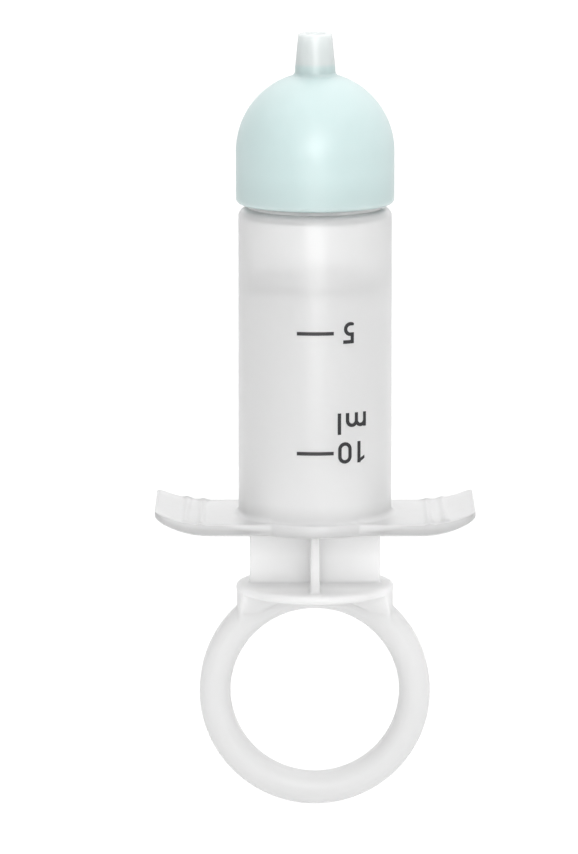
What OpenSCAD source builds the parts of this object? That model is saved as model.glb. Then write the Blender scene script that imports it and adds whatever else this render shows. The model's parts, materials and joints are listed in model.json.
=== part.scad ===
// Oral dosing syringe: a frosted barrel with finger wings, a soft domed nozzle that is
// pushed over the barrel's neck, and a ring-handled plunger that carries a wiper seal.
// Millimetres. +Z points to the nozzle, and the wings lie along X. The origin is on the
// axis of the barrel, level with the lowest point of the finger ring.

/* [Barrel] */
// Outside diameter of the tube
barrel_d = 21.8; // [21.6:0.1:22.2]
// Thickness of the tube's wall
barrel_wall = 1.25; // [1.1:0.05:1.3]
// Depth of the chamber, from the underside of the wings to the front wall
chamber_len = 44.35; // [42:0.05:50]
// Thickness of the wall at the front of the chamber
front_wall = 1.3; // [1:0.1:2]
// Radius of the rounded shoulder at the front of the tube
shoulder_r = 1.3; // [0.5:0.1:1.3]

/* [Neck and outlet] */
// Diameter over the beads of the neck that the soft nozzle grips
neck_d = 17.2; // [16:0.1:17.2]
// Height of the neck above the shoulder
neck_h = 5; // [4:0.5:6]
// Thickness of the neck's wall
neck_wall = 1.2; // [1:0.1:1.5]
// Diameter of the outlet tube at the shoulder
outlet_root_d = 5.8; // [5:0.1:6]
// Diameter of the outlet tube at its tip
outlet_tip_d = 3.5; // [3.2:0.1:3.6]
// Diameter of the bore through the outlet tube
outlet_bore_d = 2.4; // [1.5:0.1:2.4]

/* [Finger wings] */
// Width over both wings
wing_w = 45.4; // [44:0.2:50]
// Depth of the wings, front to back
wing_depth = 19.8; // [16:0.2:20.4]
// Thickness of the flat part of the wings
wing_t = 1.8; // [1.4:0.1:2.4]
// Thickness of a wing at its upturned tip
wing_tip_t = 1.1; // [0.6:0.1:1.4]
// Distance from the axis at which a wing starts to curve up
wing_bend_x = 15; // [12:0.5:15]
// Height that the top of a wing gains at its tip
wing_rise = 1.75; // [0.5:0.05:3]
// Height of the grip ribs on the wings
grip_h = 0.25; // [0.1:0.05:0.4]

/* [Soft nozzle] */
// Outside diameter of the dome
dome_d = 22.45; // [22.2:0.05:23]
// Height of the straight side under the dome
dome_side = 7.4; // [7:0.1:9]
// Radius of the dome's bottom edge
dome_edge_r = 0.7; // [0.3:0.1:1]
// Height of the nozzle above the top of the dome
nozzle_h = 5.5; // [4.5:0.05:7]
// Diameter of the nozzle where it leaves the dome
nozzle_root_d = 5.7; // [5.6:0.1:6.4]
// Diameter of the nozzle at its tip
nozzle_tip_d = 4.75; // [4.5:0.05:5.4]
// Diameter of the bore in the tip of the nozzle
nozzle_bore_d = 2.8; // [2.5:0.1:3]
// Length of the outlet tube that reaches into the nozzle, above the dome
outlet_reach = 0.9; // [0:0.1:1.5]

/* [Plunger] */
// Outside diameter of the finger ring
ring_d = 33; // [32:0.2:36]
// Radial thickness of the finger ring
ring_bar = 4.4; // [4:0.1:5]
// Depth of the finger ring, front to back
ring_depth = 5.8; // [5:0.1:8]
// Height of the collar's top above the lowest point of the ring
collar_z = 32.2; // [31.8:0.1:32.6]
// Diameter of the collar, which stops against the wings
collar_d = 22.5; // [20:0.1:24]
// Thickness of the collar
collar_t = 1.2; // [1:0.1:1.6]
// Diameter over the ribs of the rod
rod_d = 18.65; // [17.6:0.05:18.7]
// Thickness of the rod's ribs
rib_t = 1.3; // [1:0.1:2]
// Distance that the plunger stands drawn out
drawn = 8.45; // [0.2:0.05:24]

/* [Seal] */
// Height of the seal over its two lips
seal_h = 1.5; // [1.5:0.1:2.5]
// Depth of the hollow in the seal's front face
seal_dish = 0.2; // [0.1:0.05:0.3]
// Thickness of the seal in front of the plunger's end plate
seal_skin = 0.4; // [0.3:0.05:0.5]

/* [Printed scale] */
// Volumes that a line marks, in millilitres
mark_1_ml = 5; // [1:1:6]
mark_2_ml = 10; // [7:1:10]
// Volume left in the outlet and in front of the seal, in millilitres
dead_ml = 0.55; // [0:0.05:1]
// Length of a line
mark_len = 5.2; // [3:0.1:8]
// Height of a numeral
digit_h = 3.05; // [2:0.05:3.5]
// Width of a stroke
stroke = 0.5; // [0.3:0.02:0.6]

/* [Hidden] */
$fn = 96;

barrel_r = barrel_d / 2;
bore_r = barrel_r - barrel_wall;
neck_r = neck_d / 2;
dome_r = dome_d / 2;
ring_r = ring_d / 2;
ring_mid_r = ring_r - ring_bar / 2;

run_clear = 0.03;   // clearance of the seal's lips in the bore, and of the soft nozzle on the neck
seat_gap = 0.6;     // gap between the soft nozzle and the barrel's shoulder
end_gap = 0.15;     // gap that is left in front of the seal when the collar meets the wings
lap = 0.2;          // depth to which two joined shapes run into each other

wing_z = collar_z + drawn;
chamber_z = wing_z + chamber_len;
shoulder_z = chamber_z + front_wall;
dome_z = shoulder_z + seat_gap + dome_side;
dome_top_z = dome_z + dome_r;
tip_z = dome_top_z + nozzle_h;
outlet_tip_z = dome_top_z + outlet_reach;
seal_z = collar_z + chamber_len - end_gap;
seal_back_z = seal_z - seal_h;

fillet_r = 0.8;         // between the tube and the disc in the middle of the wings
wing_corner_r = 1.6;    // corners of the wings, seen from above
grip_x = [16.1, 18.3];  // distances of the grip ribs from the axis
grip_r = 0.5;           // radius of a grip rib's round back
bead_r = 0.45;          // radius of the neck's beads
bead_step = 0.2;        // height of the beads over the neck
stop_r = 0.6;           // radius of the bead that keeps the seal in the tube
stop_h = 0.16;          // height of that bead over the bore
stop_z = wing_z + 2;    // level of that bead
mouth_flare = 0.5;      // size of the chamfer at the open end of the tube
funnel_r = 2.4;         // radius of the outlet's funnel at the chamber
funnel_h = 0.9;         // depth of that funnel

sleeve_r = 3.5;         // sleeve inside the dome that grips the outlet tube
sleeve_drop = 1.8;      // length of that sleeve below the dome's inside
nozzle_fillet_r = 0.7;  // between the nozzle and the dome

collar_edge_r = 0.5;    // rounding of the collar's rim
ring_edge_r = 2.05;     // rounding of the finger ring's section
web_r = 11.15;          // half width of the web between the collar and the ring
web_flare = 1.8;        // how much deeper the web is at the collar than at the ring
plate_r = 8.8;          // front radius of the end plate, which the seal hooks over
plate_undercut = 0.4;   // how much smaller the back of the end plate is
lip_h = 0.4;            // height of a lip of the seal
lip_step = 0.22;        // height of the lips over the waist between them

ink_t = 0.05;           // thickness of the printed ink
digit_w = 2.05;         // width of a numeral
letter_h = 2.05;        // height of the letter m
numeral_x = 4.55;       // arc from the middle of a line to the middle of a single numeral
unit_z = 4.15;          // height of the unit above its line

// Radius of an arc that starts level and gains a height of rise over a length of run
function arc_r(run, rise) = (run * run + rise * rise) / (2 * rise);
// Level of the seal's front when the syringe holds a volume
function fill_z(ml) = chamber_z - (ml - dead_ml) * 1000 / (PI * bore_r * bore_r);
// Radius of the outlet tube at a level
function outlet_r(z) =
    (outlet_root_d + (outlet_tip_d - outlet_root_d) * (z - shoulder_z) / (outlet_tip_z - shoulder_z)) / 2;

module rounded_rect(w, h, r) {
    square([w - 2 * r, h], center = true);
    square([w, h - 2 * r], center = true);
    for (x = [-1, 1], y = [-1, 1])
        translate([x * (w / 2 - r), y * (h / 2 - r)]) circle(r);
}

// ---- Barrel ----

// Half section of the tube, its rounded shoulder and its neck
module tube_section() {
    translate([0, wing_z]) square([barrel_r, shoulder_z - shoulder_r - wing_z]);
    translate([0, wing_z]) square([barrel_r - shoulder_r, shoulder_z - wing_z]);
    translate([barrel_r - shoulder_r, shoulder_z - shoulder_r]) circle(shoulder_r);
    translate([0, shoulder_z - lap]) square([neck_r - bead_step, neck_h + lap]);
    for (z = [neck_h * 0.35, neck_h * 0.8])
        translate([neck_r - bead_r, shoulder_z + z]) circle(bead_r);
}

// Half section of what is cut out of the barrel: chamber, flare and funnel, and the neck's inside
module chamber_section() {
    polygon([
        [0, wing_z - 1],
        [bore_r + mouth_flare, wing_z - 1],
        [bore_r + mouth_flare, wing_z],
        [bore_r, wing_z + mouth_flare],
        [bore_r, chamber_z],
        [funnel_r, chamber_z],
        [outlet_bore_d / 2, chamber_z + funnel_h],
        [0, chamber_z + funnel_h]
    ]);
    translate([outlet_r(shoulder_z), shoulder_z])
        square([neck_r - bead_step - neck_wall - outlet_r(shoulder_z), neck_h + 1]);
}

module outlet_tube() {
    difference() {
        translate([0, 0, shoulder_z - lap])
            cylinder(r1 = outlet_r(shoulder_z), r2 = outlet_r(outlet_tip_z),
                     h = outlet_tip_z - shoulder_z + lap);
        translate([0, 0, chamber_z]) cylinder(d = outlet_bore_d, h = outlet_tip_z - chamber_z + 1);
    }
}

// Side view of the right wing, which turns up and thins out towards its tip
module wing_side() {
    run = wing_w / 2 - wing_bend_x;
    top_r = arc_r(run, wing_rise);
    under_r = arc_r(run, wing_rise + wing_t - wing_tip_t);
    translate([0, wing_z]) square([wing_bend_x, wing_t]);
    intersection() {
        difference() {
            translate([wing_bend_x, wing_z + under_r]) circle(under_r, $fn = 360);
            translate([wing_bend_x, wing_z + wing_t + top_r]) circle(top_r, $fn = 360);
        }
        translate([wing_bend_x, wing_z]) square([run, wing_t + wing_rise]);
    }
}

// Ribs across the top of the right wing, for grip
module grip_ribs() {
    run = wing_w / 2 - wing_bend_x;
    top_r = arc_r(run, wing_rise);
    for (x = grip_x) {
        z = wing_z + wing_t + top_r - sqrt(top_r * top_r - pow(x - wing_bend_x, 2));
        translate([x, 0, z - grip_r + grip_h]) rotate([90, 0, 0])
            cylinder(r = grip_r, h = wing_depth, center = true, $fn = 32);
    }
}

module wings() {
    intersection() {
        for (side = [0, 1]) mirror([side, 0, 0]) {
            rotate([90, 0, 0]) linear_extrude(wing_depth, center = true) wing_side();
            grip_ribs();
        }
        translate([0, 0, wing_z]) linear_extrude(wing_t + wing_rise + grip_h + 1)
            rounded_rect(wing_w, wing_depth, wing_corner_r);
    }
    // Disc in the middle of the wings, with a fillet up to the tube
    translate([0, 0, wing_z]) cylinder(r = barrel_r + fillet_r, h = wing_t);
    rotate_extrude() difference() {
        translate([barrel_r - lap, wing_z + wing_t - lap]) square(fillet_r + lap);
        translate([barrel_r + fillet_r, wing_z + wing_t + fillet_r]) circle(fillet_r);
    }
}

module barrel() {
    color([0.93, 0.94, 0.94, 0.6]) {
        difference() {
            union() {
                rotate_extrude() tube_section();
                wings();
            }
            rotate_extrude() chamber_section();
            translate([0, 0, chamber_z]) cylinder(d = outlet_bore_d, h = neck_h + front_wall);
        }
        outlet_tube();
        // Bead inside the open end, which keeps the seal from sliding out
        rotate_extrude() difference() {
            translate([bore_r + stop_r - stop_h, stop_z]) circle(stop_r);
            translate([bore_r + lap, stop_z - stop_r]) square(2 * stop_r);
        }
    }
}

// ---- Soft nozzle ----

// Half section of the outside: straight side, dome, nozzle and the fillet between them
module dome_section() {
    bottom_z = shoulder_z + seat_gap;
    translate([0, bottom_z]) square([dome_r - dome_edge_r, dome_side]);
    translate([0, bottom_z + dome_edge_r]) square([dome_r, dome_side - dome_edge_r]);
    translate([dome_r - dome_edge_r, bottom_z + dome_edge_r]) circle(dome_edge_r);
    intersection() {
        translate([0, dome_z]) circle(dome_r, $fn = 180);
        translate([0, dome_z]) square(dome_r + 1);
    }
    nozzle_r = nozzle_root_d / 2;
    polygon([[0, dome_z], [nozzle_r, dome_z], [nozzle_r, dome_top_z], [nozzle_tip_d / 2, tip_z], [0, tip_z]]);
    fillet_x = nozzle_r + nozzle_fillet_r;
    fillet_z = dome_z + sqrt(pow(dome_r + nozzle_fillet_r, 2) - fillet_x * fillet_x);
    touch = dome_r / (dome_r + nozzle_fillet_r);
    difference() {
        polygon([
            [0, dome_z],
            [fillet_x * touch, dome_z + (fillet_z - dome_z) * touch],
            [fillet_x, fillet_z],
            [nozzle_r - lap, fillet_z]
        ]);
        translate([fillet_x, fillet_z]) circle(nozzle_fillet_r);
    }
}

// Half section of the inside: a socket for the neck under a dome, and its sleeve for the outlet tube
module socket_section() {
    socket_r = neck_r + run_clear;
    difference() {
        union() {
            translate([0, shoulder_z - 1]) square([socket_r, dome_side + seat_gap + 1]);
            intersection() {
                translate([0, dome_z]) circle(socket_r, $fn = 180);
                translate([0, dome_z - lap]) square(socket_r + 1);
            }
        }
        translate([0, dome_z + socket_r - sleeve_drop]) square([sleeve_r, sleeve_drop]);
    }
}

module soft_nozzle() {
    sleeve_z = dome_z + neck_r - sleeve_drop - 1;
    color([0.76, 0.91, 0.88, 0.85]) difference() {
        rotate_extrude() dome_section();
        rotate_extrude() socket_section();
        translate([0, 0, sleeve_z])
            cylinder(r1 = outlet_r(sleeve_z) + run_clear, r2 = outlet_r(outlet_tip_z) + run_clear,
                     h = outlet_tip_z - sleeve_z);
        translate([0, 0, outlet_tip_z - lap]) cylinder(d = nozzle_bore_d, h = tip_z - outlet_tip_z + 1);
    }
}

// ---- Plunger ----

module finger_ring() {
    difference() {
        translate([0, 0, ring_r]) rotate([90, 0, 0]) rotate_extrude()
            translate([ring_mid_r, 0]) rounded_rect(ring_bar, ring_depth, ring_edge_r);
        translate([0, 0, collar_z + ring_r - collar_edge_r]) cube(2 * ring_r, center = true);
    }
}

// Web that fills the corners between the round ring and the collar
module collar_web() {
    top_z = collar_z - collar_t / 2;
    intersection() {
        rotate([90, 0, 90]) linear_extrude(collar_d, center = true) polygon([
            [-ring_depth / 2, ring_r],
            [ring_depth / 2, ring_r],
            [ring_depth / 2, top_z - 2 * web_flare],
            [ring_depth / 2 + web_flare, top_z],
            [-ring_depth / 2 - web_flare, top_z],
            [-ring_depth / 2, top_z - 2 * web_flare]
        ]);
        difference() {
            cylinder(r = web_r, h = top_z);
            translate([0, 0, ring_r]) rotate([90, 0, 0])
                cylinder(r = ring_mid_r, h = collar_d, center = true);
        }
    }
}

module collar() {
    rotate_extrude() {
        translate([0, collar_z - collar_t]) square([collar_d / 2 - collar_edge_r, collar_t]);
        translate([0, collar_z - collar_t + collar_edge_r])
            square([collar_d / 2, collar_t - 2 * collar_edge_r]);
        for (z = [collar_edge_r, collar_t - collar_edge_r])
            translate([collar_d / 2 - collar_edge_r, collar_z - z]) circle(collar_edge_r);
    }
}

module rod() {
    top_z = seal_back_z - 0.05;
    intersection() {
        translate([0, 0, collar_z - lap]) cylinder(d = rod_d, h = top_z - collar_z + lap);
        for (turn = [0, 90]) rotate(turn)
            translate([0, 0, (collar_z + top_z) / 2]) cube([rod_d, rib_t, 2 * top_z], center = true);
    }
    front_z = seal_z - seal_dish - seal_skin - run_clear;
    rotate_extrude() polygon([
        [0, top_z - lap],
        [plate_r - plate_undercut, top_z - lap],
        [plate_r - plate_undercut, seal_back_z],
        [plate_r, front_z],
        [0, front_z]
    ]);
}

module plunger() {
    color([0.95, 0.95, 0.95]) {
        finger_ring();
        collar_web();
        collar();
        rod();
    }
}

// ---- Seal ----

module piston_seal() {
    lip_r = bore_r - run_clear;
    waist_r = lip_r - lip_step;
    skin_z = seal_z - seal_dish - seal_skin;
    color([0.9, 0.91, 0.91]) rotate_extrude() polygon([
        [0, seal_z - seal_dish],
        [lip_r - 2 * lip_step, seal_z - seal_dish],
        [lip_r - lip_step, seal_z],
        [lip_r, seal_z],
        [lip_r, seal_z - lip_h],
        [waist_r, seal_z - lip_h - lip_step / 2],
        [waist_r, seal_back_z + lip_h + lip_step / 2],
        [lip_r, seal_back_z + lip_h],
        [lip_r, seal_back_z],
        [plate_r - plate_undercut + run_clear, seal_back_z],
        [plate_r + run_clear, skin_z],
        [0, skin_z]
    ]);
}

// ---- Printed scale ----

// Puts flat artwork on the tube, at an arc to the right of the front and at a level
module print_at(arc, z) {
    intersection() {
        rotate(arc / barrel_r * 180 / PI) translate([0, 0, z]) rotate([90, 0, 0])
            linear_extrude(2 * barrel_r) children();
        difference() {
            translate([0, 0, wing_z]) cylinder(r = barrel_r + ink_t, h = chamber_len);
            cylinder(r = barrel_r, h = shoulder_z);
        }
    }
}

module digit_0() {
    r = digit_w / 2;
    difference() {
        rounded_rect(digit_w, digit_h, r - 0.01);
        rounded_rect(digit_w - 2 * stroke, digit_h - 2 * stroke, r - stroke - 0.01);
    }
}

module digit_1() {
    square([stroke, digit_h], center = true);
    polygon([
        [0, digit_h / 2],
        [-0.95, digit_h / 2 - 0.55],
        [-0.95, digit_h / 2 - 1],
        [0, digit_h / 2 - stroke]
    ]);
}

module digit_5() {
    bowl_r = digit_h * 0.325;
    left = -digit_w / 2 + 0.12;
    bowl_y = -digit_h / 2 + bowl_r;
    translate([left + 0.1, digit_h / 2 - stroke]) square([digit_w - 0.4, stroke]);
    translate([left + 0.1, bowl_y + 0.5]) square([stroke, digit_h / 2 - bowl_y - 0.5]);
    translate([left + 0.1, bowl_y + bowl_r - stroke]) square([0.55, stroke]);
    difference() {
        translate([left + 0.65, bowl_y]) circle(bowl_r);
        translate([left + 0.65, bowl_y]) circle(bowl_r - stroke);
        translate([left - 1, bowl_y - bowl_r + stroke]) square([1.65, 2 * bowl_r]);
        translate([left - 1, bowl_y - bowl_r]) square([1.1, stroke]);
    }
}

module letter_m() {
    arch_r = 0.96;
    for (x = [-1, 0, 1])
        translate([x * (2 * arch_r - stroke) - stroke / 2, 0])
            square([stroke, x < 0 ? letter_h : letter_h - arch_r]);
    for (x = [-1, 1]) translate([x * (arch_r - stroke / 2), letter_h - arch_r]) intersection() {
        difference() {
            circle(arch_r);
            circle(arch_r - stroke);
        }
        translate([-arch_r, 0]) square([2 * arch_r, arch_r]);
    }
}

module letter_l() {
    translate([-stroke / 2, 0]) square([stroke, digit_h]);
}

module graduation_lines() {
    color([0.08, 0.08, 0.08]) for (ml = [mark_1_ml, mark_2_ml])
        print_at(0, fill_z(ml)) square([mark_len, stroke], center = true);
}

// The numerals stand on their heads, so that they read upright when the nozzle points down
module scale_numerals() {
    color([0.08, 0.08, 0.08]) {
        print_at(numeral_x + 0.3, fill_z(mark_1_ml)) rotate(180) digit_5();
        print_at(numeral_x - 0.25, fill_z(mark_2_ml)) rotate(180) digit_0();
        print_at(numeral_x + 2, fill_z(mark_2_ml)) rotate(180) digit_1();
        print_at(numeral_x - 1.1, fill_z(mark_2_ml) + unit_z + digit_h / 2)
            rotate(180) letter_l();
        print_at(numeral_x + 1.55, fill_z(mark_2_ml) + unit_z + digit_h / 2)
            rotate(180) letter_m();
    }
}

barrel();
soft_nozzle();
plunger();
piston_seal();
graduation_lines();
scale_numerals();
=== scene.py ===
"""Looks of the oral syringe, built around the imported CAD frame. Lengths are in millimetres until a mesh is made."""
import json
import math

import bmesh
import bpy
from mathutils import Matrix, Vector


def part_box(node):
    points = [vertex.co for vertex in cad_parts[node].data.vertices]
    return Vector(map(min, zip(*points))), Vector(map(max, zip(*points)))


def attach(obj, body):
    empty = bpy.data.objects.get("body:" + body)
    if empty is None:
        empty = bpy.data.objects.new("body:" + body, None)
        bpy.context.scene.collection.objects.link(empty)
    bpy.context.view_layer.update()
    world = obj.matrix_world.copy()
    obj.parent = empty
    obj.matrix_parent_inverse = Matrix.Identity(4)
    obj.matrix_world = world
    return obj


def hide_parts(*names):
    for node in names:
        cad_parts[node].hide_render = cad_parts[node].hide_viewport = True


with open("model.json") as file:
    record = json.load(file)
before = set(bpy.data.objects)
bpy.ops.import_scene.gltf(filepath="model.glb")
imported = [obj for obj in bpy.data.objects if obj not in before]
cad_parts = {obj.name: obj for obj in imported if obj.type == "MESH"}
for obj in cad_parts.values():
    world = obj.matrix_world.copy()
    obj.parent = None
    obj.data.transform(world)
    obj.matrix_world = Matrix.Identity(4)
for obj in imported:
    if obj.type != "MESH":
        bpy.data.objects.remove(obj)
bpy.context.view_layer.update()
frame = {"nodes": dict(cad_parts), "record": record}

MM = 0.001


# ---------------------------------------------------------------- sizes, from the frame

def node_box(node):
    """Lowest and highest corner of a CAD node, in millimetres."""
    low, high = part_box(node)
    return low / MM, high / MM


def mount(name):
    """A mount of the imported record."""
    return next(m for m in frame["record"]["mounts"] if m["name"] == name)


barrel_low, barrel_high = node_box("barrel")
nozzle_low, nozzle_high = node_box("soft_nozzle")
plunger_low, plunger_high = node_box("plunger")
seal_low, seal_high = node_box("piston_seal")

WALL = 1.25                 # wall of the tube
SEAL_CLEAR = 0.03           # clearance of the seal's lips in the bore
SEAT_GAP = 0.6              # gap between the soft nozzle and the barrel's shoulder
DOME_SIDE = 7.4             # straight side under the dome
FRONT_WALL = 1.3            # wall at the front of the chamber

BORE_R = seal_high.x + SEAL_CLEAR
TUBE_R = BORE_R + WALL
WING_X = barrel_high.x      # half width over the wings
DISC_R = barrel_high.y      # disc in the middle of the wings
WING_Z = barrel_low.z       # underside of the wings
OUTLET_Z = barrel_high.z    # tip of the outlet tube
OUTLET_BORE_R = 1.2
SHOULDER_Z = nozzle_low.z - SEAT_GAP
CHAMBER_Z = SHOULDER_Z - FRONT_WALL
SEAL_Z = seal_high.z        # front of the seal
DOME_R = nozzle_high.x
DOME_Z = nozzle_low.z + DOME_SIDE
NOZZLE_TIP_R = 2.375
NOZZLE_BORE_R = mount("nozzle_bore")["dims"]["r_mm"]
TIP_Z = nozzle_high.z
RING_Z = mount("finger_ring")["pos_m"][2] / MM


# ---------------------------------------------------------------- mesh tools

NEARLY_STRAIGHT = math.radians(89.5)    # half the angle at a corner that needs no rounding


def rounded(corners, steps=6):
    """An outline of (r, z) points from (r, z, radius) corners, each rounded with an arc of its radius."""
    points = []
    for i, (x, z, radius) in enumerate(corners):
        here = Vector((x, z))
        before = (Vector(corners[i - 1][:2]) - here).normalized()
        after = (Vector(corners[(i + 1) % len(corners)][:2]) - here).normalized()
        half = before.angle(after) / 2
        if radius <= 0 or half > NEARLY_STRAIGHT:
            points.append((x, z))
            continue
        centre = here + (before + after).normalized() * (radius / math.sin(half))
        reach = radius / math.tan(half)
        first = here + before * reach - centre
        last = here + after * reach - centre
        start = math.atan2(first.y, first.x)
        sweep = math.remainder(math.atan2(last.y, last.x) - start, 2 * math.pi)
        points += [(centre.x + radius * math.cos(start + sweep * k / steps),
                    centre.y + radius * math.sin(start + sweep * k / steps)) for k in range(steps + 1)]
    return points


def arc(cx, cz, radius, start, end, steps):
    """Points on an arc, from one angle to another, in degrees."""
    turns = [math.radians(start + (end - start) * k / steps) for k in range(steps + 1)]
    return [(cx + radius * math.cos(a), cz + radius * math.sin(a)) for a in turns]


def new_piece(name, mesh, material, slot, body, *replaced):
    """Links a mesh as a smooth piece with its material and body. The slot argument is not used."""
    mesh.polygons.foreach_set("use_smooth", [True] * len(mesh.polygons))
    mesh.materials.clear()
    mesh.materials.append(material)
    piece = bpy.data.objects.new(name, mesh)
    bpy.context.scene.collection.objects.link(piece)
    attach(piece, body)
    if replaced:
        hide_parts(*replaced)
    return piece


def finished_mesh(name, work):
    """A mesh from the faces built so far, with their normals facing out."""
    mesh = bpy.data.meshes.new(name)
    bmesh.ops.recalc_face_normals(work, faces=work.faces)
    work.to_mesh(mesh)
    work.free()
    return mesh


def ring_mesh(name, rows):
    """A closed mesh from rows of points in millimetres: each row is a loop, and the last joins the first."""
    work = bmesh.new()
    grid = [[work.verts.new(Vector(p) * MM) for p in row] for row in rows]
    for a, b in zip(grid, grid[1:] + grid[:1]):
        for i in range(len(a)):
            j = (i + 1) % len(a)
            work.faces.new((a[i], b[i], b[j], a[j]))
    return finished_mesh(name, work)


def lathe_mesh(name, outline, segments=160):
    """Turns an outline of (r, z) points round the Z axis. It is closed, or starts and ends on the axis."""
    turns = [2 * math.pi * k / segments for k in range(segments)]
    rows = [[(r * math.cos(a), r * math.sin(a), z) for a in turns] if r else [(0, 0, z)] for r, z in outline]
    if outline[0][0]:
        return ring_mesh(name, rows)
    work = bmesh.new()
    grid = [[work.verts.new(Vector(p) * MM) for p in row] for row in rows]
    for a, b in zip(grid, grid[1:]):
        for i in range(segments):
            j = (i + 1) % segments
            if len(a) == 1:
                work.faces.new((a[0], b[i], b[j]))
            elif len(b) == 1:
                work.faces.new((a[i], b[0], a[j]))
            else:
                work.faces.new((a[i], b[i], b[j], a[j]))
    return finished_mesh(name, work)


# ---------------------------------------------------------------- materials

BROAD_SIZE = 9                          # size of the broad shifts of colour
MIX_A, MIX_B, MIX_RESULT = 6, 7, 2      # colour sockets of a Mix node


def grey(level):
    """A grey of one level."""
    return level, level, level


def shader(name, colour, roughness, **inputs):
    """A Principled material, its node tree, and the shader node."""
    material = bpy.data.materials.new(name)
    material.use_nodes = True
    tree = material.node_tree
    principled = tree.nodes["Principled BSDF"]
    principled.inputs["Base Color"].default_value = (*colour, 1)
    principled.inputs["Roughness"].default_value = roughness
    principled.inputs["Subsurface Radius"].default_value = (1, 1, 1)
    for key, value in inputs.items():
        principled.inputs[key.replace("_", " ")].default_value = value
    return material, tree, principled


def add_grain(tree, principled, colour, roughness, size, depth, colour_spread, rough_spread):
    """Moulded grain: a bump with its size and depth in millimetres, and shifts of colour and roughness."""
    nodes, links = tree.nodes, tree.links
    place = nodes.new("ShaderNodeTexCoord")
    fine = nodes.new("ShaderNodeTexNoise")
    fine.inputs["Scale"].default_value = 1 / (size * MM)
    fine.inputs["Detail"].default_value = 3
    broad = nodes.new("ShaderNodeTexNoise")
    broad.inputs["Scale"].default_value = 1 / (BROAD_SIZE * MM)
    broad.inputs["Detail"].default_value = 2
    links.new(place.outputs["Object"], fine.inputs["Vector"])
    links.new(place.outputs["Object"], broad.inputs["Vector"])
    if depth:
        bump = nodes.new("ShaderNodeBump")
        bump.inputs["Distance"].default_value = depth * MM
        bump.inputs["Strength"].default_value = 1
        links.new(fine.outputs["Fac"], bump.inputs["Height"])
        links.new(bump.outputs["Normal"], principled.inputs["Normal"])
    tint = nodes.new("ShaderNodeValToRGB")
    tint.color_ramp.elements[0].position = 0.3
    tint.color_ramp.elements[1].position = 0.7
    tint.color_ramp.elements[0].color = (*[c * (1 - colour_spread) for c in colour], 1)
    tint.color_ramp.elements[1].color = (*colour, 1)
    links.new(broad.outputs["Fac"], tint.inputs["Fac"])
    links.new(tint.outputs["Color"], principled.inputs["Base Color"])
    rough = nodes.new("ShaderNodeMapRange")
    rough.inputs["From Min"].default_value = 0.3
    rough.inputs["From Max"].default_value = 0.7
    rough.inputs["To Min"].default_value = roughness - rough_spread
    rough.inputs["To Max"].default_value = roughness + rough_spread
    links.new(fine.outputs["Fac"], rough.inputs["Value"])
    links.new(rough.outputs["Result"], principled.inputs["Roughness"])


def math_node(tree, operation, *terms):
    """Links numbers and sockets into a Math node, and gives its result."""
    result = tree.nodes.new("ShaderNodeMath")
    result.operation = operation
    for socket, term in zip(result.inputs, terms):
        if isinstance(term, (int, float)):
            socket.default_value = term
        else:
            tree.links.new(term, socket)
    return result.outputs["Value"]


def multiply_colour(tree, principled, tint):
    """Multiplies the shader's colour by a tint."""
    tinted = tree.nodes.new("ShaderNodeMix")
    tinted.data_type = "RGBA"
    tinted.blend_type = "MULTIPLY"
    tinted.inputs["Factor"].default_value = 1
    base = principled.inputs["Base Color"].links[0].from_socket
    tree.links.new(base, tinted.inputs[MIX_A])
    tree.links.new(tint, tinted.inputs[MIX_B])
    tree.links.new(tinted.outputs[MIX_RESULT], principled.inputs["Base Color"])


def tint_ramp(tree, value, stops):
    """Gives the tint for a length in metres, from stops of (length in millimetres, tint)."""
    low, high = stops[0][0], stops[-1][0]
    fraction = tree.nodes.new("ShaderNodeMapRange")
    fraction.inputs["From Min"].default_value = low * MM
    fraction.inputs["From Max"].default_value = high * MM
    ramp = tree.nodes.new("ShaderNodeValToRGB")
    for _ in stops[2:]:
        ramp.color_ramp.elements.new(0.5)
    for element, (place, tint) in zip(ramp.color_ramp.elements, stops):
        element.position = (place - low) / (high - low)
        element.color = (*tint, 1)
    tree.links.new(value, fraction.inputs["Value"])
    tree.links.new(fraction.outputs["Result"], ramp.inputs["Fac"])
    return ramp.outputs["Color"]


def radius_of(tree):
    """Gives the distance from the syringe's axis."""
    place = tree.nodes.new("ShaderNodeTexCoord")
    flat = tree.nodes.new("ShaderNodeVectorMath")
    flat.operation = "MULTIPLY"
    flat.inputs[1].default_value = (1, 1, 0)
    length = tree.nodes.new("ShaderNodeVectorMath")
    length.operation = "LENGTH"
    tree.links.new(place.outputs["Object"], flat.inputs[0])
    tree.links.new(flat.outputs["Vector"], length.inputs[0])
    return length.outputs["Value"]


def add_axis_tint(tree, principled, axis, stops):
    """Tints the colour along an axis of the object; here it paints shade and light onto the parts."""
    place = tree.nodes.new("ShaderNodeTexCoord")
    split = tree.nodes.new("ShaderNodeSeparateXYZ")
    tree.links.new(place.outputs["Object"], split.inputs["Vector"])
    multiply_colour(tree, principled, tint_ramp(tree, split.outputs[axis], stops))


def add_upright_edge_shade(tree, principled, start, end, tint):
    """Paints shade on upright faces that lie farther out than start, in full from end on."""
    geometry = tree.nodes.new("ShaderNodeNewGeometry")
    split = tree.nodes.new("ShaderNodeSeparateXYZ")
    tree.links.new(geometry.outputs["Normal"], split.inputs["Vector"])
    upright = math_node(tree, "SUBTRACT", 1, math_node(tree, "ABSOLUTE", split.outputs["Z"]))
    reach = math_node(tree, "MULTIPLY", upright, radius_of(tree))
    multiply_colour(tree, principled, tint_ramp(tree, reach, [(start, grey(1)), (end, tint)]))


def add_rim_shade(tree, principled, start, end, tint):
    """Paints shade on the colour from the radius start outwards, in full from the radius end."""
    multiply_colour(tree, principled, tint_ramp(tree, radius_of(tree), [(start, grey(1)), (end, tint)]))


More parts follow.
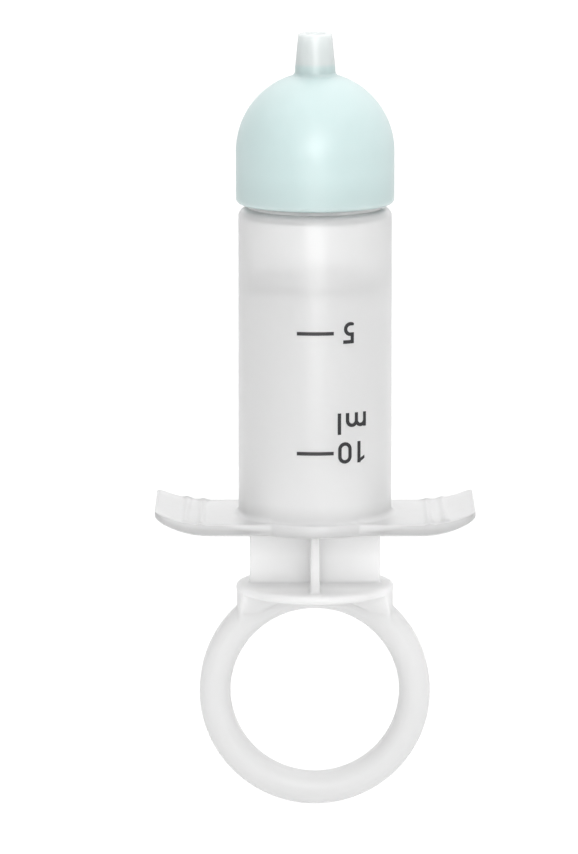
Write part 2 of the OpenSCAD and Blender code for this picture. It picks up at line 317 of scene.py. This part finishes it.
def frosted_plastic():
    """Frosted polypropylene: part of the light goes through, part is scattered, and painted shade darkens the wings
    and their upright faces.
    """
    colour, roughness = grey(0.99), 0.31
    material, tree, principled = shader(
        "frosted_polypropylene", colour, roughness, Transmission_Weight=0.62, IOR=1.45, Coat_Weight=0.4,
        Coat_Roughness=0.35)
    add_grain(tree, principled, colour, roughness, size=1.5, depth=0, colour_spread=0.01,
              rough_spread=0.015)
    wings_end = WING_Z + 2.4                # just over the wings' root
    # painted shade: the wings darker than the tube above them
    add_axis_tint(tree, principled, "Z", [
        (barrel_low.z, grey(0.82)), (wings_end, grey(0.85)), (wings_end + 2, grey(1))])
    # painted shade on the upright front faces and ends of the wings
    add_upright_edge_shade(tree, principled, DISC_R + 0.2, DISC_R + 2, grey(0.72))
    return material


def mint_silicone():
    """Mint silicone, with painted shade at the skirt and at the root of the nozzle, and the nozzle painted paler as
    if light came through its thin wall.
    """
    colour, roughness = (0.85, 0.92, 0.92), 0.38
    material, tree, principled = shader(
        "mint_silicone", colour, roughness, Subsurface_Weight=1.0, Subsurface_Scale=0.004, IOR=1.5,
        Specular_IOR_Level=0.9)
    add_grain(tree, principled, colour, roughness, size=0.3, depth=0.002, colour_spread=0.02,
              rough_spread=0.03)
    # painted shade at the skirt and the nozzle's root, and painted light that makes the thin nozzle paler
    skirt, dome = (0.56, 0.63, 0.625), (0.64, 0.72, 0.715)
    root, nozzle = (0.58, 0.66, 0.655), (0.68, 0.67, 0.665)
    root_z = DOME_Z + DOME_R
    add_axis_tint(tree, principled, "Z", [
        (nozzle_low.z, skirt), (nozzle_low.z + 5, dome), (root_z - 0.5, dome),
        (root_z + 0.1, root), (root_z + 0.8, root), (root_z + 1.4, nozzle)])
    return material


def white_plastic():
    """Milky polypropylene, with painted shade that makes the ring, the thin ribs of the rod and the outermost edges
    darker than the collar.
    """
    colour, roughness = grey(0.97), 0.42
    material, tree, principled = shader(
        "milky_polypropylene", colour, roughness, Subsurface_Weight=1.0, Subsurface_Scale=0.005, IOR=1.45)
    add_grain(tree, principled, colour, roughness, size=0.15, depth=0.003, colour_spread=0.01,
              rough_spread=0.04)
    ring_top = 2 * RING_Z
    # painted shade: the ring darkest, the rod darker than the collar
    add_axis_tint(tree, principled, "Z", [
        (plunger_low.z, grey(0.59)), (ring_top - 6, grey(0.63)), (ring_top + 3, grey(0.83)),
        (WING_Z + 3, grey(0.7)), (plunger_high.z, grey(0.7))])
    # painted shade on the parts that reach farthest to the front and back, such as the front rib and the collar's rim
    front, edge = plunger_high.y, grey(0.82)
    add_axis_tint(tree, principled, "Y", [
        (-front, edge), (3 - front, edge), (6 - front, grey(1)),
        (front - 6, grey(1)), (front - 3, edge), (front, edge)])
    return material


def clear_silicone():
    """Clear silicone: pale where the light comes through, with painted shade at the lips where they press on the
    bore.
    """
    colour, roughness = grey(0.97), 0.25
    material, tree, principled = shader(
        "clear_silicone", colour, roughness, Subsurface_Weight=1.0, Subsurface_Scale=0.01, IOR=1.5)
    add_grain(tree, principled, colour, roughness, size=1.2, depth=0, colour_spread=0.02,
              rough_spread=0.03)
    # painted shade round the lips, where they meet the bore
    add_rim_shade(tree, principled, BORE_R - 0.7, BORE_R - 0.3, grey(0.25))
    return material


def black_ink():
    """Matt black ink, a little uneven."""
    colour, roughness = (0.02, 0.02, 0.022), 0.45
    material, tree, principled = shader("printed_ink", colour, roughness)
    add_grain(tree, principled, colour, roughness, size=0.08, depth=0.002, colour_spread=0.3,
              rough_spread=0.08)
    return material


# ---------------------------------------------------------------- barrel

WING_DEPTH = 9.9        # half depth of the wings
WING_T = 1.8            # thickness of the wings
WING_TIP_T = 1.1        # thickness at a tip
WING_BEND = 15.0        # where a wing starts to turn up
WING_RISE = 1.75        # how far its top rises
WING_CORNER = 1.6       # its corners, seen from above
WING_EDGE = 0.32        # rounding of its edges
FILLET = 0.8            # between the tube and the wings
EDGE_STEPS = 6          # steps round an edge
GRIP_X = (16.1, 18.3)   # ribs across the wings
GRIP_H = 0.25           # height of a rib
GRIP_W = 0.6            # half width of a rib
MOUTH_R = BORE_R + 0.6  # mouth of the bore, widened to let the seal in


def arc_rise(x, rise):
    """Height of an arc that starts level at the bend and reaches rise at the tip."""
    run = WING_X - WING_BEND
    past = max(0.0, x - WING_BEND)
    radius = (run * run + rise * rise) / (2 * rise)
    return radius - math.sqrt(radius * radius - past * past)


def wing_top(x):
    """Height of a wing's top over its flat underside."""
    ribs = sum(GRIP_H * math.cos(math.pi / 2 * (x - at) / GRIP_W) ** 2
               for at in GRIP_X if abs(x - at) < GRIP_W)
    return WING_T + arc_rise(x, WING_RISE) + ribs


def wing_under(x):
    """Height of a wing's underside."""
    return arc_rise(x, WING_RISE + WING_T - WING_TIP_T)


def plan_reach(angle, inset):
    """Distance from the axis to the outline of the wings and disc, moved in by inset."""
    c, s = abs(math.cos(angle)), abs(math.sin(angle))
    w, d, r = WING_X - inset, WING_DEPTH - inset, WING_CORNER - inset
    side = w / max(c, 1e-9)
    front = d / max(s, 1e-9)
    reach = min(side, front)
    x, y = reach * c, reach * s
    if x > w - r and y > d - r:
        cx, cy = w - r, d - r
        along = cx * c + cy * s
        reach = along + math.sqrt(max(0.0, along * along - cx * cx - cy * cy + r * r))
    return max(reach, DISC_R - inset)


def wing_profile(angle, steps=56):
    """Points (r, z) from the tube, over the wing and its edge, and back along the underside to the mouth."""
    def at(r, height):
        return r, WING_Z + height

    edge = plan_reach(angle, WING_EDGE)
    fillet = min(FILLET, edge - TUBE_R)
    points = [at(TUBE_R + fillet * (1 - math.cos(a)), wing_top(0) + fillet * (1 - math.sin(a)))
              for a in [math.radians(90 * k / EDGE_STEPS) for k in range(EDGE_STEPS)]]
    start = TUBE_R + fillet
    x_share = abs(math.cos(angle))
    for k in range(steps + 1):
        r = start + (edge - start) * k / steps
        points.append(at(r, wing_top(r * x_share)))
    for k in range(1, EDGE_STEPS):
        a = math.radians(90 * k / EDGE_STEPS)
        r = plan_reach(angle, WING_EDGE * (1 - math.sin(a)))
        points.append(at(r, wing_top(min(r * x_share, WING_X)) - WING_EDGE * (1 - math.cos(a))))
    for k in range(EDGE_STEPS):
        a = math.radians(90 * k / EDGE_STEPS)
        r = plan_reach(angle, WING_EDGE * (1 - math.cos(a)))
        points.append(at(r, wing_under(min(r * x_share, WING_X)) + WING_EDGE * (1 - math.sin(a))))
    inner = MOUTH_R + 0.3
    under_steps = steps // 3
    for k in range(under_steps):
        r = edge + (inner - edge) * k / under_steps
        points.append(at(r, wing_under(r * x_share)))
    return points


def barrel_angles():
    """Angles round the barrel, closer together near the wings' corners."""
    corner, near = math.atan2(WING_DEPTH, WING_X), math.radians(4)
    fine, coarse = math.radians(0.45), math.radians(1.25)
    quarter = []
    a = 0.0
    while a < math.pi / 2 - 1e-6:
        quarter.append(a)
        a += fine if abs(a - corner) < near else coarse
    quarter = [q * (math.pi / 2) / a for q in quarter]
    return [q + turn * math.pi / 2 if turn % 2 == 0 else (turn + 1) * math.pi / 2 - q
            for turn in range(4)
            for q in (quarter if turn % 2 == 0 else [*quarter[1:], math.pi / 2][::-1])]


def barrel_mesh():
    """The barrel, from its mouth up the bore, over the outlet tube and neck, and down the outside."""
    stop, stop_z = 0.16, WING_Z + 2.0       # ring in the bore that keeps the seal in
    tube_tip_r, tube_root_r = 1.75, 2.9
    neck_r, neck_wall, neck_top = 8.4, 1.2, SHOULDER_Z + 5
    bead, bead_h = 0.2, 0.4
    seat_r, seat_top = 9.55, SHOULDER_Z + 0.5
    beads = [corner for bead_z in (SHOULDER_Z + 4.0, SHOULDER_Z + 1.75) for corner in (
        (neck_r, bead_z + bead_h, 0.1),
        (neck_r + bead, bead_z, 0.3),
        (neck_r, bead_z - bead_h, 0.1))]
    inside = rounded([
        (MOUTH_R, WING_Z, 0.12),
        (BORE_R, WING_Z + 0.6, 0.2),
        (BORE_R, stop_z - 0.5, 0.2),
        (BORE_R - stop, stop_z, 0.25),
        (BORE_R, stop_z + 0.5, 0.2),
        (BORE_R, CHAMBER_Z, 0.35),
        (2 * OUTLET_BORE_R, CHAMBER_Z, 0.2),
        (OUTLET_BORE_R, CHAMBER_Z + 0.9, 0.4),
        (OUTLET_BORE_R, OUTLET_Z, 0.1),
        (tube_tip_r, OUTLET_Z, 0.15),
        (tube_root_r, SHOULDER_Z, 0.4),
        (neck_r - neck_wall, SHOULDER_Z, 0.4),
        (neck_r - neck_wall, neck_top, 0.3),
        (neck_r, neck_top, 0.4),
        *beads,
        (neck_r, seat_top, 0.15),
        (seat_r, seat_top, 0.15),
        (seat_r, SHOULDER_Z, 0.05),
        (TUBE_R, SHOULDER_Z, 1.28),
        (TUBE_R, WING_Z + WING_T + FILLET + 0.5, 0)])
    angles = barrel_angles()
    profiles = [inside + wing_profile(a) for a in angles]
    rows = [[(p[i][0] * math.cos(a), p[i][0] * math.sin(a), p[i][1]) for p, a in zip(profiles, angles)]
            for i in range(len(profiles[0]))]
    return ring_mesh("barrel_shell", rows)


# ---------------------------------------------------------------- soft nozzle

def soft_nozzle_mesh():
    """The dome, its nozzle, the socket for the neck and, inside it, a sleeve that grips the outlet tube."""
    root_r, fillet = 2.85, 0.8
    socket_r = 8.63
    sleeve_r, sleeve_z = 3.5, DOME_Z + socket_r - 1.8
    grip_r, sleeve_mouth_r = 1.79, 2.02
    meet_x = root_r + fillet                # centre of the fillet between dome and nozzle
    meet_z = DOME_Z + math.sqrt((DOME_R + fillet) ** 2 - meet_x ** 2)
    lean = math.degrees(math.atan2(meet_z - DOME_Z, meet_x))
    outline = rounded([
        (NOZZLE_TIP_R, TIP_Z, 0),
        (NOZZLE_BORE_R, TIP_Z, 0.3),
        (NOZZLE_BORE_R, OUTLET_Z, 0.1),
        (grip_r, OUTLET_Z - 0.1, 0.05),
        (sleeve_mouth_r, sleeve_z, 0.15),
        (sleeve_r, sleeve_z, 0.4),
        (sleeve_r, sleeve_z + 1.6, 0)])[1:-1]
    top = math.degrees(math.asin(min(1, (sleeve_r + 0.4) / socket_r)))
    outline += arc(0, DOME_Z, socket_r, 90 - top, 0, 24)
    outline += rounded([
        (socket_r, DOME_Z - 2, 0),
        (socket_r, nozzle_low.z, 0.3),
        (DOME_R, nozzle_low.z, 0.75),
        (DOME_R, DOME_Z - 2, 0)])
    outline += arc(0, DOME_Z, DOME_R, 0, lean, 40)
    outline += arc(meet_x, meet_z, fillet, 180 + lean, 180 + 5, 8)
    outline += rounded([
        (root_r, meet_z + 0.4, 0),
        (NOZZLE_TIP_R, TIP_Z, 0.32),
        (NOZZLE_BORE_R, TIP_Z, 0)])[:-1]
    return lathe_mesh("mint_nozzle", outline)


# ---------------------------------------------------------------- plunger and seal

def plunger_mesh():
    """The CAD plunger with its edges and inner corners softened, as a moulding has them."""
    source = frame["nodes"]["plunger"]
    work = bpy.data.objects.new("plunger_work", source.data.copy())
    bpy.context.scene.collection.objects.link(work)
    remesh = work.modifiers.new("remesh", "REMESH")
    remesh.mode = "VOXEL"
    remesh.voxel_size = 0.2 * MM
    smooth = work.modifiers.new("smooth", "SMOOTH")
    smooth.factor = 0.5
    smooth.iterations = 4
    depsgraph = bpy.context.evaluated_depsgraph_get()
    mesh = bpy.data.meshes.new_from_object(work.evaluated_get(depsgraph))
    bpy.data.objects.remove(work)
    mesh.name = "ring_plunger"
    return mesh


def seal_mesh():
    """The wiper seal: two lips with a waist between them, hooked round the plunger's end plate."""
    lip, waist = seal_high.x, seal_high.x - 0.22
    lip_h, slope = 0.4, 0.11
    plate, hook = 8.83, 8.43
    back, face, skin = seal_low.z, SEAL_Z - 0.2, SEAL_Z - 0.6
    outline = rounded([
        (lip - 0.62, face, 0.3),
        (lip - 0.22, SEAL_Z, 0.08),
        (lip, SEAL_Z, 0.06),
        (lip, SEAL_Z - lip_h, 0.06),
        (waist, SEAL_Z - lip_h - slope, 0.06),
        (waist, back + lip_h + slope, 0.06),
        (lip, back + lip_h, 0.06),
        (lip, back, 0.08),
        (hook, back, 0.06),
        (plate, skin, 0.05)])
    return lathe_mesh("wiper_seal", [(0, face), *outline, (0, skin)])


# ---------------------------------------------------------------- studio

def area_light(name, place, aim, size, power):
    """A rectangular light that the camera doesn't see."""
    data = bpy.data.lights.new(name, "AREA")
    data.shape = "RECTANGLE"
    data.size, data.size_y = size
    data.energy = power
    light = bpy.data.objects.new(name, data)
    light.location = place
    light.rotation_mode = "QUATERNION"
    light.rotation_quaternion = (Vector(aim) - Vector(place)).to_track_quat("-Z", "Y")
    light.visible_camera = False
    bpy.context.scene.collection.objects.link(light)


def studio():
    """A pale table in a softly lit room, with a soft box near the camera."""
    scene = bpy.context.scene
    room()
    mesh = bpy.data.meshes.new("table")
    half = 6.0
    corners = [(-half, -half, 0), (half, -half, 0), (half, half, 0), (-half, half, 0)]
    mesh.from_pydata(corners, [], [(0, 1, 2, 3)])
    table = bpy.data.objects.new("table", mesh)
    scene.collection.objects.link(table)
    mesh.materials.append(pale_table())
    area_light("front_box", place=(0.03, -0.92, 0.3), aim=(0, 0, 0.06), size=(0.42, 0.55), power=3.5)
    scene.view_settings.view_transform = "Standard"
    scene.cycles.use_denoising = True
    scene.cycles.max_bounces = 32
    scene.cycles.diffuse_bounces = 16
    scene.cycles.glossy_bounces = 24
    scene.cycles.transmission_bounces = 24


def pale_table():
    """A pale table that glows, with a painted pool of light under and behind the syringe."""
    material, tree, principled = shader("pale_table", grey(0.06), 0.9)
    # the table's own glow, brightest in the painted pool of light
    principled.inputs["Emission Color"].default_value = (1, 1, 1, 1)
    place = tree.nodes.new("ShaderNodeTexCoord")
    pool = tree.nodes.new("ShaderNodeMapping")
    pool.vector_type = "TEXTURE"
    pool.inputs["Location"].default_value = (0, 0.55, 0)
    pool.inputs["Scale"].default_value = (0.3, 1.1, 1)
    fade = tree.nodes.new("ShaderNodeTexGradient")
    fade.gradient_type = "SPHERICAL"
    level = tree.nodes.new("ShaderNodeMapRange")
    level.interpolation_type = "SMOOTHSTEP"
    level.inputs["From Min"].default_value = 0.0
    level.inputs["From Max"].default_value = 0.25
    level.inputs["To Min"].default_value = 0.58
    level.inputs["To Max"].default_value = 0.96
    tree.links.new(place.outputs["Object"], pool.inputs["Vector"])
    tree.links.new(pool.outputs["Vector"], fade.inputs["Vector"])
    tree.links.new(fade.outputs["Fac"], level.inputs["Value"])
    tree.links.new(level.outputs["Result"], principled.inputs["Emission Strength"])
    return material


def room():
    """Soft light all round: dim at the left, brighter at the front and right, behind and above."""
    world = bpy.data.worlds.new("room")
    world.use_nodes = True
    tree = world.node_tree
    nodes, links = tree.nodes, tree.links
    direction = nodes.new("ShaderNodeTexCoord")

    def lobe(towards, start, end, dim, bright):
        """Light that grows from dim to bright as the direction nears towards."""
        nearness = nodes.new("ShaderNodeVectorMath")
        nearness.operation = "DOT_PRODUCT"
        nearness.inputs[1].default_value = Vector(towards).normalized()
        links.new(direction.outputs["Generated"], nearness.inputs[0])
        level = nodes.new("ShaderNodeMapRange")
        level.interpolation_type = "SMOOTHSTEP"
        for key, value in (("From Min", start), ("From Max", end), ("To Min", dim), ("To Max", bright)):
            level.inputs[key].default_value = value
        links.new(nearness.outputs["Value"], level.inputs["Value"])
        return level.outputs["Result"]

    right = lobe(towards=(0.5, -0.7, 0.5), start=-0.5, end=1.0, dim=0.45, bright=0.85)
    behind = lobe(towards=(0.1, 1.0, 0.1), start=0.3, end=0.9, dim=0.0, bright=0.6)
    above = lobe(towards=(0.0, 0.1, 1.0), start=0.3, end=1.0, dim=0.0, bright=0.8)
    total = math_node(tree, "ADD", math_node(tree, "ADD", right, behind), above)
    links.new(total, nodes["Background"].inputs["Strength"])
    nodes["Background"].inputs["Color"].default_value = (1, 1, 1, 1)
    bpy.context.scene.world = world


def camera():
    """Looks down a little from the front, with the syringe right of the middle of the picture."""
    distance, elevation = 0.9, math.radians(9.6)
    aside, height = -0.0037, 0.0547
    scale = 0.1425 * MM                  # metres of the object to a picture element
    picture_height = 854
    data = bpy.data.cameras.new("camera")
    data.sensor_width = 36
    data.lens = data.sensor_width * (distance / scale) / picture_height
    data.clip_start, data.clip_end = 0.01, 20
    cam = bpy.data.objects.new("camera", data)
    cam.location = (aside, -distance * math.cos(elevation), height + distance * math.sin(elevation))
    cam.rotation_euler = (math.pi / 2 - elevation, 0, 0)
    bpy.context.scene.collection.objects.link(cam)
    bpy.context.scene.camera = cam


# ---------------------------------------------------------------- the scene

camera()
studio()
new_piece("barrel_shell", barrel_mesh(), frosted_plastic(), "frosted_plastic", "barrel", "barrel")
new_piece("mint_nozzle", soft_nozzle_mesh(), mint_silicone(), "mint_silicone", "soft_nozzle", "soft_nozzle")
new_piece("ring_plunger", plunger_mesh(), white_plastic(), "white_plastic", "plunger", "plunger")
new_piece("wiper_seal", seal_mesh(), clear_silicone(), "clear_silicone", "seal", "piston_seal")
ink = black_ink()
for node in ("graduation_lines", "scale_numerals"):
    for material_slot in frame["nodes"][node].material_slots:
        material_slot.material = ink
